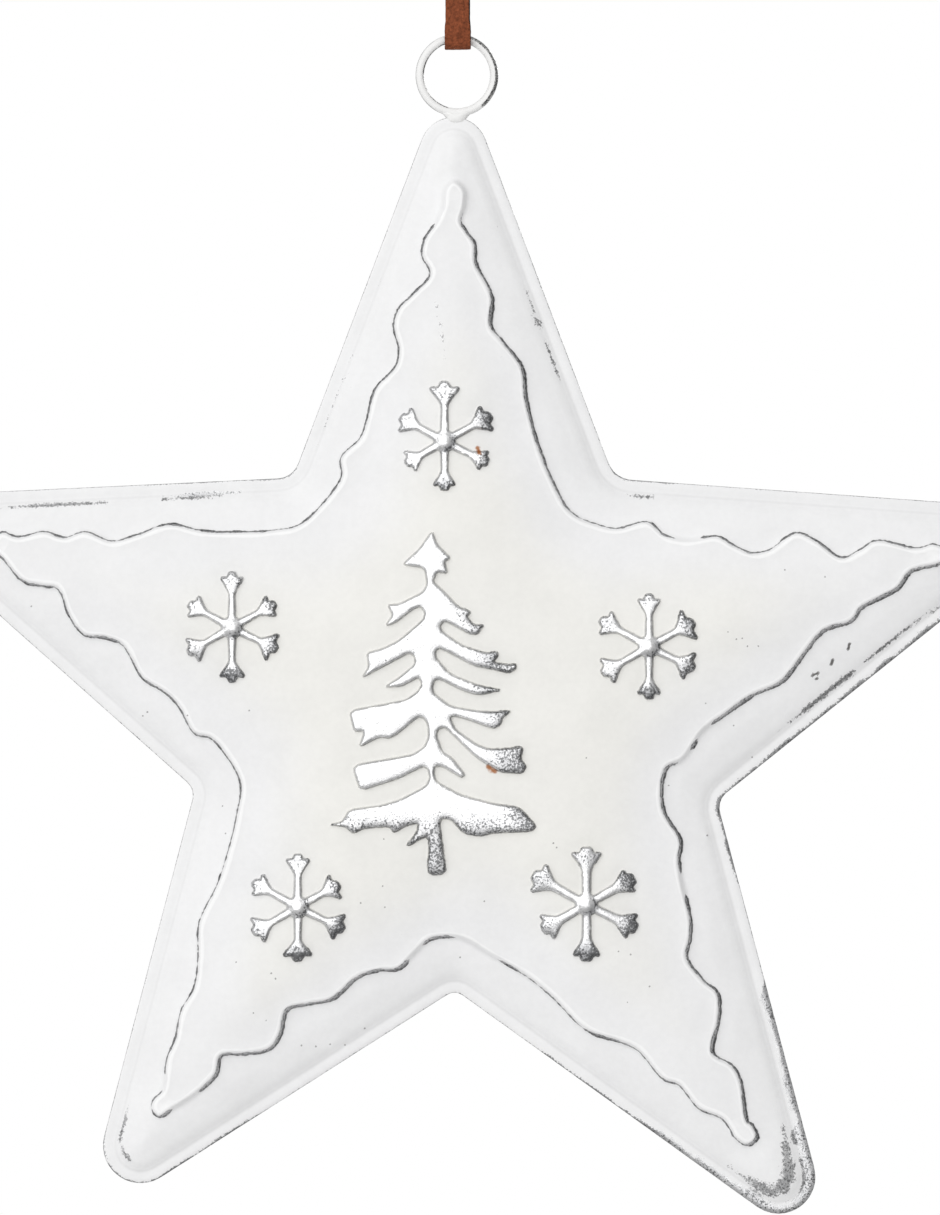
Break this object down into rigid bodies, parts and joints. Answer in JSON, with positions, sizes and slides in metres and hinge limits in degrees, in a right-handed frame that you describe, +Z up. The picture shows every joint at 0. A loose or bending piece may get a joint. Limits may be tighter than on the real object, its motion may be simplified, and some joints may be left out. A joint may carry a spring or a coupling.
{
  "type": "tin star ornament",
  "caption": "Hollow five-pointed tin star of two pressed halves with a raised wavy panel, fir tree and snowflakes, hung by a soldered wire ring and a flat lace.",
  "frame": {"origin": "inside top of the lace loop, where the peg, nail or twig carries the ornament", "axes": "+Z up, the star's front faces -Y, +X to the right seen from the front"},
  "size_m": [0.2089, 0.0128, 0.3083],
  "materials": {
    "white_tin": "worn eggshell paint over tin sheet",
    "solder": "dull grey solder",
    "white_wire": "worn white paint over steel wire",
    "white_solder": "white paint over solder",
    "lace": "matt brown suede"
  },
  "bodies": {
    "lace": {"hanging_lace": "lace", "lace_knot": "lace"},
    "star": {"front_shell": "white_tin", "back_shell": "white_tin", "seam_solder": "solder", "hanging_ring": "white_wire", "ring_solder": "white_solder"}
  },
  "joints": [
    {"name": "ring_swing", "type": "hinge", "parent": "lace", "child": "star", "pos_m": [0, 0, -0.06], "axis": [1, 0, 0], "range_deg": [-90, 90]}
  ]
}
